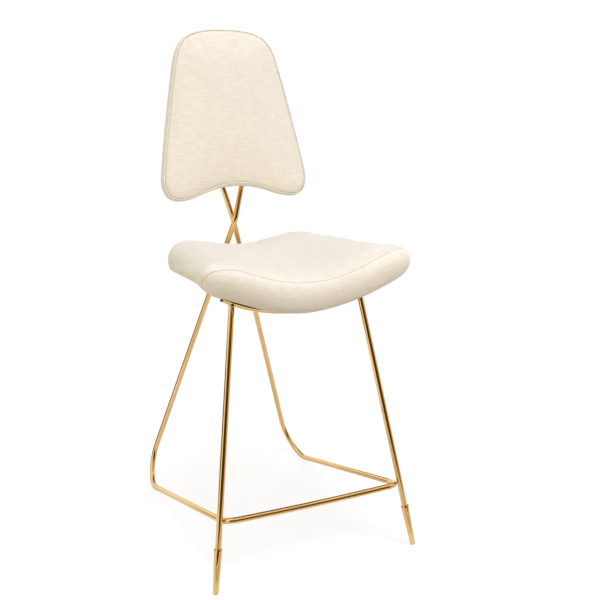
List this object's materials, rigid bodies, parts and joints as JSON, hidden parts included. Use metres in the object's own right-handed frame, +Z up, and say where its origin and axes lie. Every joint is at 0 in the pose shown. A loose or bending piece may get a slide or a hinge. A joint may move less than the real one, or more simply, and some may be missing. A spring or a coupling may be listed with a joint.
{
  "type": "bar stool",
  "caption": "Bar stool with an upholstered saddle seat and tapered upholstered back on a frame of bent round rod, with a footrest and turned ferrules on the front feet.",
  "frame": {"origin": "on the floor under the middle of the overall box", "axes": "+Z up, -Y towards the front of the stool, +X to the right of someone who faces its front"},
  "size_m": [0.48, 0.6134, 1.1332],
  "materials": {
    "brass": "polished",
    "cream_fabric": "woven",
    "dark_fabric": "woven",
    "plywood": "sanded",
    "steel": "satin",
    "dark_plastic": "matt"
  },
  "bodies": {
    "root": {"left_leg": "brass", "right_leg": "brass", "left_ferrule": "brass", "right_ferrule": "brass", "left_bar_cap": "dark_plastic", "right_bar_cap": "dark_plastic", "left_seat_tab": "brass", "right_seat_tab": "brass", "front_crossbar": "brass", "footrest": "brass", "left_side_rod": "brass", "right_side_rod": "brass", "rear_crossbar": "brass", "rear_seat_bracket": "brass", "seat_cushion": "cream_fabric", "seat_pan": "plywood", "seat_dust_cover": "dark_fabric", "back_cushion": "cream_fabric", "back_board": "plywood", "back_rear_panel": "cream_fabric", "seat_screw_1": "steel", "seat_nut_1": "steel", "seat_screw_2": "steel", "seat_nut_2": "steel", "seat_screw_3": "steel", "seat_nut_3": "steel", "seat_screw_4": "steel", "seat_nut_4": "steel", "seat_screw_5": "steel", "seat_nut_5": "steel", "seat_screw_6": "steel", "seat_nut_6": "steel", "back_screw_1": "steel", "back_nut_1": "steel", "back_screw_2": "steel", "back_nut_2": "steel", "back_screw_3": "steel", "back_nut_3": "steel", "back_screw_4": "steel", "back_nut_4": "steel"}
  },
  "joints": []
}
